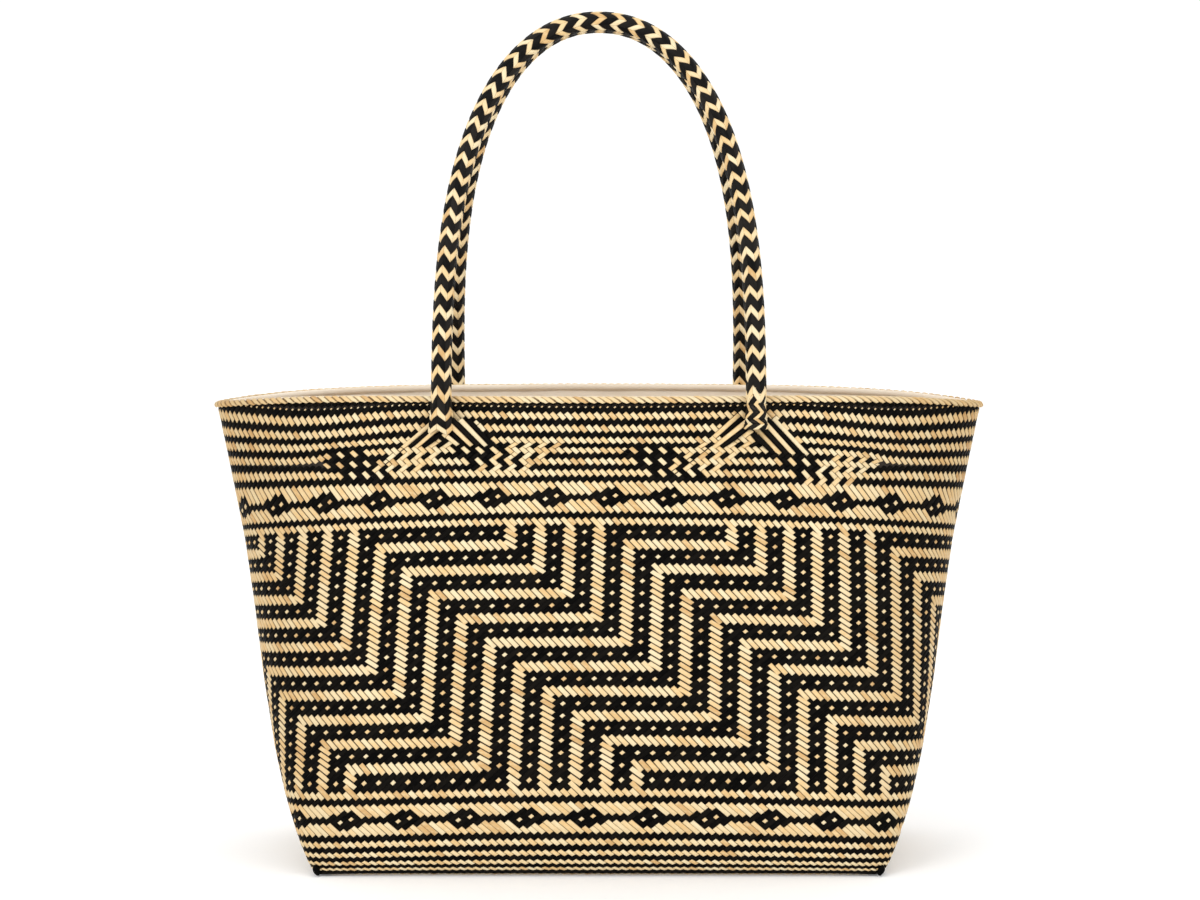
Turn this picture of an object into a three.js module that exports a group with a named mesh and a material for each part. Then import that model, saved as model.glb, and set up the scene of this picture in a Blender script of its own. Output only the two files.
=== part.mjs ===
// A plaited rattan tote bag: a hollow woven body with a rectangular base and an oval mouth,
// a wrapped rim, a cloth lining with a rolled hem, and two braided carrying handles whose
// strands fan out over the wall at four feet.
// Millimetres, +Z up, front at -Y, origin in the middle of the base's underside.
import * as THREE from "three";
import { mergeVertices } from "three/addons/utils/BufferGeometryUtils.js";

// Driving dimensions of the body
const RIM_WIDTH = 450;
const RIM_DEPTH = 157;
const BASE_WIDTH = 326.5;
const BASE_DEPTH = 150;
const BELLY_BULGE = 3;
const WALL_HEIGHT = 272;
const WALL_THICKNESS = 2.4;
const BASE_THICKNESS = 2.6;
const RIM_END_DIP = 6.5;
const RIM_DIP_POWER = 4.8;
const TUCK_RADIUS = 9;

// Driving dimensions of the rim, the lining and the hem
const CLEARANCE = 0.35;
const BINDING_THICKNESS = 1.3;
const BINDING_HEIGHT = 4.6;
const LINING_THICKNESS = 1;
const HEM_THICKNESS = 2;
const HEM_BELOW_BINDING = 2.4;
const HEM_UNDER_RIM = 1.3;

// Driving dimensions of the handles and their feet
const HANDLE_DIAMETER = 11;
const HANDLE_SPACING = 177;
const HANDLE_ARCH_HEIGHT = 213;
const HANDLE_SPRING_ABOVE_RIM = 4;
const HANDLE_BELOW_RIM = 20;
const HANDLE_APEX_GAP = 0.7;
const FOOT_TOP_WIDTH = 18;
const FOOT_BOTTOM_WIDTH = 94;
const FOOT_HEIGHT = 26;
const FOOT_ROOT_THICKNESS = 7;
const FOOT_FAN_THICKNESS = 1.4;

// Powers of the arch that the handles follow, across and up, and of their lean inwards
const ARCH_POWER_ACROSS = 2.14;
const ARCH_POWER_UP = 2.74;
const LEAN_POWER = 1.2;

// Powers that fade the rounded base edge out towards the four sharp corners
const TUCK_FACE_POWER = 8;
const TUCK_SIDE_POWER = 4;

// Facets
const SIDE_STEPS = 7;
const FACE_STEPS = 12;
const HANDLE_STEPS = 56;
const HANDLE_SIDES = 8;
const FOOT_COLUMNS = 10;
const FINE_STEPS = 120;

// Sections of the body. height is a share of the wall's height, spread runs from the base (0)
// to the rim (1), belly is a share of the bulge, and corner is the power of the oval outline.
const SECTIONS = [
  { height: 0.0, spread: 0.0, belly: 0.0, corner: 30 },
  { height: 0.0015, spread: 0.0035, belly: 0.0043, corner: 29.5 },
  { height: 0.0055, spread: 0.0129, belly: 0.0157, corner: 28.1 },
  { height: 0.0124, spread: 0.0291, belly: 0.0354, corner: 25.7 },
  { height: 0.035, spread: 0.082, belly: 0.1, corner: 18 },
  { height: 0.093, spread: 0.2, belly: 0.35, corner: 10 },
  { height: 0.16, spread: 0.312, belly: 0.6, corner: 6.5 },
  { height: 0.25, spread: 0.424, belly: 0.85, corner: 4.6 },
  { height: 0.4, spread: 0.545, belly: 1.0, corner: 3.5 },
  { height: 0.55, spread: 0.637, belly: 1.0, corner: 2.85 },
  { height: 0.7, spread: 0.738, belly: 0.75, corner: 2.35 },
  { height: 0.9, spread: 0.9125, belly: 0.26, corner: 1.9 },
  { height: 1.0, spread: 1.0, belly: 0.0, corner: 1.75 },
];

// Rows of a foot, from the handle's root down. down is a share of the foot's height, spread
// runs from its top width (0) to its bottom width (1), and bulk from the fan's thickness (0)
// to the root's (1).
const FOOT_ROWS = [
  { down: 0, spread: 0, bulk: 1 },
  { down: 0.16, spread: 0.16, bulk: 0.62 },
  { down: 0.34, spread: 0.36, bulk: 0.22 },
  { down: 0.62, spread: 0.66, bulk: 0 },
  { down: 1, spread: 1, bulk: 0 },
];

function mix(from, to, share) {
  return from + (to - from) * share;
}

// The body's half width, half depth and corner power at a share of its height.
function sectionAt(height) {
  const last = SECTIONS.length - 2;
  let row = 0;
  while (row < last && height > SECTIONS[row + 1].height) row += 1;
  const low = SECTIONS[row];
  const high = SECTIONS[row + 1];
  const share = (height - low.height) / (high.height - low.height);
  const spread = mix(low.spread, high.spread, share);
  const belly = mix(low.belly, high.belly, share);
  return {
    halfWidth: mix(BASE_WIDTH, RIM_WIDTH, spread) / 2,
    halfDepth: mix(BASE_DEPTH, RIM_DEPTH, spread) / 2 + BELLY_BULGE * belly,
    corner: mix(low.corner, high.corner, share),
  };
}

// The height of the wall's top edge, which dips towards the two ends.
function wallTop(x) {
  const reach = Math.min(1, Math.abs(x) / (RIM_WIDTH / 2));
  return WALL_HEIGHT - RIM_END_DIP * Math.pow(reach, RIM_DIP_POWER);
}

// Points at equal steps along a polyline, without its last point.
function evenSteps(line, count) {
  const lengths = [0];
  for (let i = 1; i < line.length; i += 1) {
    lengths.push(lengths[i - 1] + line[i].distanceTo(line[i - 1]));
  }
  const total = lengths[lengths.length - 1];
  const points = [];
  let at = 0;
  for (let step = 0; step < count; step += 1) {
    const target = (total * step) / count;
    while (lengths[at + 1] < target) at += 1;
    const share = (target - lengths[at]) / (lengths[at + 1] - lengths[at]);
    points.push(line[at].clone().lerp(line[at + 1], share));
  }
  return points;
}

// How far the rounded base edge draws in, at a share of the height.
function tuckAt(height) {
  const rise = Math.min(1, (height * WALL_HEIGHT) / TUCK_RADIUS);
  return TUCK_RADIUS * (1 - Math.sqrt(rise * (2 - rise)));
}

// One quarter of the oval, from the +X end through its corner to the +Y face. Its faces and
// sides are drawn in by the tuck, and its corner is not.
function quarter(halfWidth, halfDepth, corner, tuck) {
  const arc = (from, to) =>
    Array.from({ length: FINE_STEPS + 1 }, (_, i) => {
      const angle = mix(from, to, i / FINE_STEPS);
      const across = Math.pow(Math.cos(angle), 2 / corner);
      const deep = Math.pow(Math.sin(angle), 2 / corner);
      const sideTuck = tuck * across ** TUCK_FACE_POWER * (1 - deep ** TUCK_SIDE_POWER);
      const faceTuck = tuck * deep ** TUCK_FACE_POWER * (1 - across ** TUCK_FACE_POWER);
      return new THREE.Vector2(
        halfWidth * across - sideTuck,
        halfDepth * deep - faceTuck,
      );
    });
  const side = evenSteps(arc(0, Math.PI / 4), SIDE_STEPS);
  const face = evenSteps(arc(Math.PI / 4, Math.PI / 2), FACE_STEPS);
  return [...side, ...face];
}

// The whole outline at a share of the height, inset by a distance, anticlockwise from +X.
function outline(height, inset) {
  const { halfWidth, halfDepth, corner } = sectionAt(height);
  const tuck = tuckAt(height);
  const points = quarter(halfWidth - inset, halfDepth - inset, corner, tuck);
  const side = new THREE.Vector2(0, halfDepth - inset - tuck);
  const mirrored = [side, ...points.slice(1).reverse()];
  const left = mirrored.map((p) => new THREE.Vector2(-p.x, p.y));
  const half = [...points, ...left];
  return [...half, ...half.map((p) => new THREE.Vector2(-p.x, -p.y))];
}

// A ring of the body's surface at a share of its height.
function ring(height, inset) {
  return outline(height, inset).map(
    (p) => new THREE.Vector3(p.x, p.y, height * wallTop(p.x)),
  );
}

// A ring near the rim. drop is how far it lies below the wall's top edge, and is negative
// above the edge.
function rimRing(inset, drop) {
  const share = Math.min(1, 1 - drop / WALL_HEIGHT);
  return outline(share, inset).map(
    (p) => new THREE.Vector3(p.x, p.y, wallTop(p.x) - drop),
  );
}

// A flat ring at one height above the underside.
function levelRing(inset, z) {
  return outline(z / WALL_HEIGHT, inset).map(
    (p) => new THREE.Vector3(p.x, p.y, z),
  );
}

// A closed body from rings of equal count. Rings run from the outside bottom up and over to
// the inside. Where ends is true the first and the last ring are capped, and where it is
// false the last ring joins the first. Each four-sided facet is split from its lower point at
// i to its upper point at j, inside and out, so that nested walls keep their gap.
function bodyFromRings(rings, ends) {
  const vertices = rings.flat();
  const faces = [];
  const count = rings[0].length;
  const bands = ends ? rings.length - 1 : rings.length;
  for (let r = 0; r < bands; r += 1) {
    const low = r * count;
    const high = ((r + 1) % rings.length) * count;
    const rising = vertices[high].z >= vertices[low].z;
    for (let i = 0; i < count; i += 1) {
      const j = (i + 1) % count;
      if (rising) {
        faces.push([low + i, low + j, high + j]);
        faces.push([low + i, high + j, high + i]);
      } else {
        faces.push([low + i, low + j, high + i]);
        faces.push([low + j, high + j, high + i]);
      }
    }
  }
  if (ends) {
    capRing(vertices, faces, 0, count, false);
    capRing(vertices, faces, (rings.length - 1) * count, count, true);
  }
  return solidFrom(vertices, faces);
}

// A flat cap over one ring, with a point in its middle.
function capRing(vertices, faces, start, count, facingUp) {
  const middle = new THREE.Vector3();
  for (let i = 0; i < count; i += 1) middle.add(vertices[start + i]);
  vertices.push(middle.divideScalar(count));
  const centre = vertices.length - 1;
  for (let i = 0; i < count; i += 1) {
    const j = (i + 1) % count;
    if (facingUp) faces.push([centre, start + i, start + j]);
    else faces.push([centre, start + j, start + i]);
  }
}

function solidFrom(vertices, faces) {
  const geometry = new THREE.BufferGeometry();
  const numbers = vertices.flatMap((v) => [v.x, v.y, v.z]);
  geometry.setAttribute(
    "position",
    new THREE.Float32BufferAttribute(numbers, 3),
  );
  geometry.setIndex(faces.flat());
  const merged = mergeVertices(geometry, 1e-4);
  merged.computeVertexNormals();
  return merged;
}

const liningUnder = BASE_THICKNESS + CLEARANCE;
const liningOver = liningUnder + LINING_THICKNESS;
const heights = SECTIONS.map((s) => s.height);
const insideHeights = heights.filter((h) => h * WALL_HEIGHT > liningOver + CLEARANCE);

// The woven wall and base in one piece: up the outside, over the edge and down the inside.
function wovenBody() {
  const outside = heights.map((height) => ring(height, 0));
  const inside = [...insideHeights]
    .reverse()
    .map((height) => ring(height, WALL_THICKNESS));
  const floor = levelRing(WALL_THICKNESS, BASE_THICKNESS);
  return bodyFromRings([...outside, ...inside, floor], true);
}

const bindingLeg = BINDING_HEIGHT - BINDING_THICKNESS - CLEARANCE;
const bindingInset = WALL_THICKNESS + CLEARANCE;

// The wrapped binding: a rounded hood over the wall's edge with a leg on each side.
function rimBinding() {
  const top = -(CLEARANCE + BINDING_THICKNESS);
  const shoulder = top + BINDING_THICKNESS * 0.6;
  const outer = -(CLEARANCE + BINDING_THICKNESS);
  const inner = bindingInset + BINDING_THICKNESS;
  return bodyFromRings(
    [
      rimRing(outer, bindingLeg),
      rimRing(outer, shoulder),
      rimRing(WALL_THICKNESS / 2, top),
      rimRing(inner, shoulder),
      rimRing(inner, bindingLeg),
      rimRing(bindingInset, bindingLeg),
      rimRing(bindingInset, -CLEARANCE),
      rimRing(-CLEARANCE, -CLEARANCE),
      rimRing(-CLEARANCE, bindingLeg),
    ],
    false,
  );
}

const liningInset = WALL_THICKNESS + CLEARANCE;
const liningTopDrop = bindingLeg + CLEARANCE;

// The cloth lining: a thin open bag that follows the wall's inside and covers the base.
function lining() {
  const insideInset = liningInset + LINING_THICKNESS;
  const rows = insideHeights.slice(0, -1);
  return bodyFromRings(
    [
      levelRing(liningInset + CLEARANCE, liningUnder),
      ...rows.map((height) => ring(height, liningInset)),
      rimRing(liningInset, liningTopDrop),
      rimRing(insideInset, liningTopDrop),
      ...rows.reverse().map((height) => ring(height, insideInset)),
      levelRing(insideInset, liningOver),
    ],
    true,
  );
}

// The rolled hem of the lining, a band inside the binding's inner leg.
function liningHem() {
  const outer = bindingInset + BINDING_THICKNESS + CLEARANCE;
  const inner = outer + HEM_THICKNESS;
  const low = bindingLeg + HEM_BELOW_BINDING;
  const high = HEM_UNDER_RIM - CLEARANCE - BINDING_THICKNESS;
  const round = HEM_THICKNESS / 4;
  return bodyFromRings(
    [
      rimRing(outer, low),
      rimRing(outer, high + round),
      rimRing((outer + inner) / 2, high),
      rimRing(inner, high + HEM_THICKNESS / 2),
      rimRing(inner, low - round),
    ],
    false,
  );
}

// The distance of the wall's outer face from the middle plane, at a place across and up.
function wallDepth(x, z) {
  const { halfWidth, halfDepth, corner } = sectionAt(z / wallTop(x));
  const across = Math.pow(Math.abs(x) / halfWidth, corner);
  return halfDepth * Math.pow(1 - across, 1 / corner);
}

const handleRadius = HANDLE_DIAMETER / 2;
const handleFootX = HANDLE_SPACING / 2;
const handleSpring = wallTop(handleFootX) + HANDLE_SPRING_ABOVE_RIM;
const handleEnd = wallTop(handleFootX) - HANDLE_BELOW_RIM;
const handleStandOff = CLEARANCE + BINDING_THICKNESS + CLEARANCE + handleRadius;
const handleFootY = wallDepth(handleFootX, wallTop(handleFootX)) + handleStandOff;
const handleApexY = handleRadius + HANDLE_APEX_GAP / 2;

// The middle line of one handle, on the +Y side: up outside the wall, over in a rounded arch
// that leans inwards, and down again.
function handleLine() {
  const foot = (side) =>
    new THREE.Vector3(side * handleFootX, handleFootY, handleEnd);
  const arch = Array.from({ length: FINE_STEPS + 1 }, (_, i) => {
    const turn = Math.PI * (1 - i / FINE_STEPS);
    const across = Math.cos(turn);
    const reach = Math.pow(Math.abs(across), 2 / ARCH_POWER_ACROSS);
    const rise = Math.pow(Math.abs(Math.sin(turn)), 2 / ARCH_POWER_UP);
    return new THREE.Vector3(
      Math.sign(across) * reach * handleFootX,
      mix(handleFootY, handleApexY, Math.pow(rise, LEAN_POWER)),
      handleSpring + rise * HANDLE_ARCH_HEIGHT,
    );
  });
  const line = [foot(-1), ...arch, foot(1)];
  return [...evenSteps(line, HANDLE_STEPS), foot(1)];
}

// A handle as a round bar along its middle line.
function handleBar() {
  const corners = Array.from({ length: HANDLE_SIDES }, (_, i) => {
    const angle = (2 * Math.PI * i) / HANDLE_SIDES;
    return new THREE.Vector2(Math.cos(angle), Math.sin(angle));
  });
  const section = corners.map((p) => p.multiplyScalar(handleRadius));
  const path = new THREE.CatmullRomCurve3(handleLine(), false, "centripetal");
  const bar = new THREE.ExtrudeGeometry(new THREE.Shape(section), {
    steps: HANDLE_STEPS,
    bevelEnabled: false,
    extrudePath: path,
  });
  bar.deleteAttribute("normal");
  bar.deleteAttribute("uv");
  const merged = mergeVertices(bar, 1e-3);
  merged.computeVertexNormals();
  return merged;
}

// A thin closed slab between two grids of equal size, near and far. Their rows run down and
// their columns towards +X, and far lies outside near.
function slab(near, far) {
  const rows = near.length;
  const columns = near[0].length;
  const half = rows * columns;
  const at = (row, column) => row * columns + column;
  const faces = [];
  for (let r = 0; r + 1 < rows; r += 1) {
    for (let c = 0; c + 1 < columns; c += 1) {
      const [a, b] = [at(r, c), at(r, c + 1)];
      const [d, e] = [at(r + 1, c), at(r + 1, c + 1)];
      faces.push([half + a, half + b, half + e], [half + a, half + e, half + d]);
      faces.push([a, e, b], [a, d, e]);
    }
  }
  const across = Array.from({ length: columns - 1 }, (_, c) => c);
  const down = Array.from({ length: rows - 1 }, (_, r) => r);
  const edges = [
    ...across.map((c) => [at(0, c), at(0, c + 1)]),
    ...down.map((r) => [at(r, columns - 1), at(r + 1, columns - 1)]),
    ...across.map((c) => [at(rows - 1, c + 1), at(rows - 1, c)]),
    ...down.map((r) => [at(r + 1, 0), at(r, 0)]),
  ];
  for (const [a, b] of edges) {
    faces.push([half + b, half + a, a], [half + b, a, b]);
  }
  return solidFrom([...near.flat(), ...far.flat()], faces);
}

// A foot: the handle's strands, flattened and fanned out over the wall. side is -1 or 1 across,
// and it lies on the +Y face.
function handleFoot(side) {
  const top = handleEnd - CLEARANCE;
  const grid = (thickness) =>
    FOOT_ROWS.map((row) =>
      Array.from({ length: FOOT_COLUMNS + 1 }, (_, column) => {
        const across = (2 * column) / FOOT_COLUMNS - 1;
        const width = mix(FOOT_TOP_WIDTH, FOOT_BOTTOM_WIDTH, row.spread);
        const x = side * handleFootX + (across * width) / 2;
        const z = top - row.down * FOOT_HEIGHT;
        const off = CLEARANCE + thickness(row, across);
        return new THREE.Vector3(x, wallDepth(x, z) + off, z);
      }),
    );
  const near = grid(() => 0);
  const far = grid((row, across) =>
    mix(FOOT_FAN_THICKNESS, FOOT_ROOT_THICKNESS, row.bulk * (1 - across ** 2)),
  );
  return slab(near, far);
}

function material(name, color, roughness) {
  return new THREE.MeshStandardMaterial({
    name,
    color,
    roughness,
    metalness: 0,
  });
}

const wovenStraw = material("woven_straw", 0x9a8463, 0.55);
const naturalStraw = material("natural_straw", 0xe8cf9f, 0.5);
const liningCloth = material("lining_cloth", 0xd4c8b6, 0.9);
const braidedStraw = material("braided_straw", 0x6b5a42, 0.5);

function piece(name, geometry, look, turned = false) {
  const mesh = new THREE.Mesh(geometry, look);
  mesh.name = name;
  if (turned) mesh.rotation.z = Math.PI;
  return mesh;
}

const tote = new THREE.Group();
tote.name = "rattan_tote_bag";
tote.add(piece("woven_body", wovenBody(), wovenStraw));
tote.add(piece("rim_binding", rimBinding(), naturalStraw));
tote.add(piece("lining", lining(), liningCloth));
tote.add(piece("lining_hem", liningHem(), liningCloth));

// The back of the bag lies at +Y. The front is the same turned half round, so its left and
// right change places.
for (const face of ["back", "front"]) {
  const turned = face === "front";
  tote.add(piece(`handle_${face}`, handleBar(), braidedStraw, turned));
  for (const hand of ["left", "right"]) {
    const side = (hand === "left") === turned ? 1 : -1;
    const name = `handle_foot_${face}_${hand}`;
    tote.add(piece(name, handleFoot(side), wovenStraw, turned));
  }
}

export default tote;
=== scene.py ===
import math

import bpy
import numpy as np
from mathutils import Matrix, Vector


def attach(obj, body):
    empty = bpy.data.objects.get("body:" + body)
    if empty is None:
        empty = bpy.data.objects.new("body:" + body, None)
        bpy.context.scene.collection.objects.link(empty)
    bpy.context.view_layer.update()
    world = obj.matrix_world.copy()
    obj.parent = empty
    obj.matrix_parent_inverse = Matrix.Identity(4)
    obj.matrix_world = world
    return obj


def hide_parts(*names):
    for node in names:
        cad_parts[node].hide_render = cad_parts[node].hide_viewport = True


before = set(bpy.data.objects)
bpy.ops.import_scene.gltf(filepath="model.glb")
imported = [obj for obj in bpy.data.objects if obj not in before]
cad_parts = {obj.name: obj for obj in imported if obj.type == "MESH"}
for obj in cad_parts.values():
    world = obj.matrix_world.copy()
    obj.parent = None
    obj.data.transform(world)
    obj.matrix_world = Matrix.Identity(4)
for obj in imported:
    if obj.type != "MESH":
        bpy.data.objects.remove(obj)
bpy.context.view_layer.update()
MM = 0.001
random = np.random.RandomState(11)

# Sizes of the body, the same as the solid model's, in millimetres
RIM_WIDTH = 450
RIM_DEPTH = 157
BASE_WIDTH = 326.5
BASE_DEPTH = 150
BELLY_BULGE = 3
WALL_HEIGHT = 272
WALL_THICKNESS = 2.4
RIM_END_DIP = 6.5
RIM_DIP_POWER = 4.8
TUCK_RADIUS = 9

# Sections of the body: share of the height, spread, belly and corner power
SECTIONS = np.array(
    [
        (0.0, 0.0, 0.0, 30),
        (0.035, 0.082, 0.1, 18),
        (0.093, 0.2, 0.35, 10),
        (0.16, 0.312, 0.6, 6.5),
        (0.25, 0.424, 0.85, 4.6),
        (0.4, 0.545, 1.0, 3.5),
        (0.55, 0.637, 1.0, 2.85),
        (0.7, 0.738, 0.75, 2.35),
        (0.9, 0.9125, 0.26, 1.9),
        (1.0, 1.0, 0.0, 1.75),
    ]
)

# The plait is a lattice of crossings. Columns are counted in half units round the body from
# the middle of the front, and rows in half units down from the rim.
COLUMNS_ROUND = 480
QUARTER_COLUMNS = COLUMNS_ROUND / 4
ROW_HEIGHTS = np.array(
    [
        (-6, 278.6),
        (-0.5, 269.6),
        (3.5, 263.1),
        (7.5, 255.9),
        (11.5, 249.1),
        (15.5, 243.9),
        (19.5, 237.5),
        (23.5, 231.2),
        (26.5, 226.0),
        (40.5, 202.1),
        (83, 128.6),
        (119, 65.0),
        (126.5, 48.8),
        (142.5, 20.1),
        (146.5, 13.7),
        (150.5, 8.4),
        (154.5, 4.3),
        (158.5, 1.5),
        (161, 0.3),
    ]
)
ROW_DROOP = np.array(
    [(-6, -6), (4.5, -5.6), (31.5, 13.6), (39.5, 14), (119, 11), (126.5, 9), (142, 7), (150, 4), (158, 0)]
)
# At the ends of the bag four rows fewer lie between the rim and the upper diamonds
LOST_ROWS = 4
LOST_FIRST_ROW = 17
LOST_FROM_COLUMN = 78.5
COLUMN_PITCH = np.array([(25, 2.21), (40, 2.194), (199, 2.0835), (269, 2.05)])
COLUMN_DRIFT = 0.0357
DRIFT_FROM_HEIGHT = 186.7


# The wall as a surface


def section_at(share):
    spread = np.interp(share, SECTIONS[:, 0], SECTIONS[:, 1])
    belly = np.interp(share, SECTIONS[:, 0], SECTIONS[:, 2])
    corner = np.interp(share, SECTIONS[:, 0], SECTIONS[:, 3])
    half_width = (BASE_WIDTH + (RIM_WIDTH - BASE_WIDTH) * spread) / 2
    half_depth = (BASE_DEPTH + (RIM_DEPTH - BASE_DEPTH) * spread) / 2 + BELLY_BULGE * belly
    return half_width, half_depth, corner


def tuck_at(height):
    """How far the rounded base edge draws in at a height above the floor."""
    share = np.clip(height / TUCK_RADIUS, 0, 1)
    return TUCK_RADIUS * (1 - np.sqrt(share * (2 - share)))


def outline_tables():
    """A quarter of the outline at even arc steps, from the front's middle to the side's."""
    shares = np.concatenate([np.linspace(0, 0.08, 41), np.linspace(0.085, 1.03, 120)])
    steps = np.linspace(0, 1, 181)
    across = np.zeros((len(shares), len(steps)))
    depth = np.zeros_like(across)
    quarter = np.zeros(len(shares))
    turn = np.linspace(math.pi / 2, 0, 1600)
    for row, share in enumerate(shares):
        half_width, half_depth, corner = section_at(share)
        x = np.abs(np.cos(turn)) ** (2 / corner)
        y = np.abs(np.sin(turn)) ** (2 / corner)
        x[0] = 0
        tuck = tuck_at(share * WALL_HEIGHT)
        xs = half_width * x - tuck * x**8 * (1 - y**4)
        ys = half_depth * y - tuck * y**8 * (1 - x**8)
        length = np.concatenate([[0], np.cumsum(np.hypot(np.diff(xs), np.diff(ys)))])
        quarter[row] = length[-1]
        across[row] = np.interp(steps * length[-1], length, xs)
        depth[row] = np.interp(steps * length[-1], length, ys)
    return shares, across, depth, quarter


SHARES, ACROSS, DEPTH, QUARTER = outline_tables()


def wall_top(x):
    reach = np.minimum(1, np.abs(x) / (RIM_WIDTH / 2))
    return WALL_HEIGHT - RIM_END_DIP * reach**RIM_DIP_POWER


def look_up(table, share, along):
    row = np.interp(share, SHARES, np.arange(len(SHARES)))
    low = np.minimum(row.astype(int), len(SHARES) - 2)
    row_part = row - low
    column = np.clip(along, 0, 1) * (table.shape[1] - 1)
    left = np.minimum(column.astype(int), table.shape[1] - 2)
    part = column - left
    below = table[low, left] * (1 - part) + table[low, left + 1] * part
    above = table[low + 1, left] * (1 - part) + table[low + 1, left + 1] * part
    return below * (1 - row_part) + above * row_part


def outline_point(share, turn):
    """A point of the outline. turn counts quarters from the front's middle, towards +X."""
    whole = np.floor(turn)
    part = turn - whole
    quadrant = whole.astype(int) % 4
    along = np.where(quadrant % 2 == 0, part, 1 - part)
    x = look_up(ACROSS, share, along)
    y = look_up(DEPTH, share, along)
    x = np.where(quadrant < 2, x, -x)
    y = np.where((quadrant == 0) | (quadrant == 3), -y, y)
    return x, y


def wall_point(turn, height):
    """A point of the wall's outer face, from a turn and a height in millimetres."""
    share = height / WALL_HEIGHT
    for _ in range(2):
        x, y = outline_point(share, turn)
        share = height / wall_top(x)
    x, y = outline_point(share, turn)
    return np.stack([x, y, height], axis=-1)


def wall_normal(turn, height):
    side = wall_point(turn + 0.004, height) - wall_point(turn - 0.004, height)
    rise = wall_point(turn, height + 0.4) - wall_point(turn, np.maximum(0, height - 0.4))
    normal = np.cross(side, rise)
    return normal / np.linalg.norm(normal, axis=-1, keepdims=True)


def smooth_step(value, low, high):
    share = np.clip((value - low) / (high - low), 0, 1)
    return share * share * (3 - 2 * share)


def lattice_place(column, row):
    """The turn and height of a place on the lattice."""
    face = np.round(column / (2 * QUARTER_COLUMNS))
    reach = column / QUARTER_COLUMNS - 2 * face
    off = np.abs(reach) * QUARTER_COLUMNS
    spread = smooth_step(off, 45, 92)
    beyond = smooth_step(off, LOST_FROM_COLUMN - 3, LOST_FROM_COLUMN + 3)
    eased = np.clip((24 - row) / 12, 0, 1)
    cut = np.clip((LOST_FIRST_ROW + LOST_ROWS - 0.5 - row) / LOST_ROWS, 0, 1)
    row = row + LOST_ROWS * spread * (eased + (cut - eased) * beyond)
    droop = np.interp(row, ROW_DROOP[:, 0], ROW_DROOP[:, 1])
    height = np.interp(row, ROW_HEIGHTS[:, 0], ROW_HEIGHTS[:, 1])
    height = height - droop * (np.abs(reach) * QUARTER_COLUMNS / 115) ** 2.1
    height = np.maximum(height, 0.02)
    quarter = np.interp(height / WALL_HEIGHT, SHARES, QUARTER)
    pitch = np.interp(height, COLUMN_PITCH[:, 0], COLUMN_PITCH[:, 1])
    even = QUARTER_COLUMNS * pitch / quarter
    turn = 2 * face + even * reach + (1 - even) * reach**3
    drift = COLUMN_DRIFT * (DRIFT_FROM_HEIGHT - height)
    return turn - drift / quarter, height


def lattice_point(column, row, proud):
    """A point of the plait, proud of the wall's outer face by a distance."""
    turn, height = lattice_place(column, row)
    rim = wall_top(outline_point(np.ones(turn.shape), turn)[0]) - 1.2
    proud = np.where(height > rim, np.minimum(proud, -0.2), proud)
    height = np.minimum(height, rim)
    point = wall_point(turn, height) + wall_normal(turn, height) * proud[..., None]
    point[..., 2] = np.maximum(point[..., 2], 0.0)
    return point


# The woven pattern

# Plain rows, first and last, of natural straw over black
NATURAL_ROWS = [
    (0, 0), (3, 4), (7, 8), (11, 12), (15, 16), (19, 20), (23, 24), (39, 40),
    (126, 127), (142, 143), (146, 147), (150, 151), (154, 155),
]
# The diagonal lines where columns of the meander change to rows, with what lies after each
MEANDER_TURNS = [
    (-183, "rows"), (-147, "columns"), (-107, "rows"), (-71, "columns"), (-39, "rows"),
    (-11, "columns"), (37, "rows"), (81, "columns"), (121, "rows"), (165, "columns"),
    (213, "rows"), (257, "columns"), (297, "rows"),
]
MEANDER_FIRST_ROW = 41
MEANDER_LAST_ROW = 125
MEANDER_STEP = 8
MEANDER_PHASE = 7
# The natural crossings of one diamond, row by row, as columns from its middle that are black
DIAMOND_BLACK = {2: (0, 2), 3: (-3, -1, 1, 3), 6: (-2, 0, 2, 4), 7: (-1, 1)}
DIAMOND_DOT = {4: 2, 5: -1}
DIAMOND_WIDTH = 16
DIAMOND_BANDS = [(27, 2), (130, -1)]


# The feet of the handles. Seen from its own face, each foot's middle column, then the bands of
# straws that the handle adds: for the straws that rise to the right (column + row) and the
# ones that fall to the right (column - row), both counted from the foot's middle column, the
# first and last straw, the rows, and which of every four straws takes the other colour.
FEET = {
    "left": {
        "column": -42,
        "light": [(1, 13, 6, 24, 1), (31, 45, 12, 22, 3)],
        "dark": [(-13, -1, 5, 22, 3), (-53, -39, 13, 24, 3)],
        "long_light": [(1, 6, 12), (3, 5, 13), (5, 6, 14), (7, 9, 13)],
        "long_dark": [(-11, -1, 13)],
    },
    "right": {
        "column": 42,
        "light": [(-1, 13, 4, 24, 3), (39, 53, 15, 26, 1)],
        "dark": [(-13, -1, 5, 24, 1), (-53, -37, 13, 25, 1)],
        "long_light": [(-1, 4, 10), (1, 5, 10), (3, 6, 12), (5, 8, 12)],
        "long_dark": [(-11, -1, 14)],
    },
}
FOOT_FIRST_ROW = 6
FOOT_LAST_ROW = 24


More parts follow.
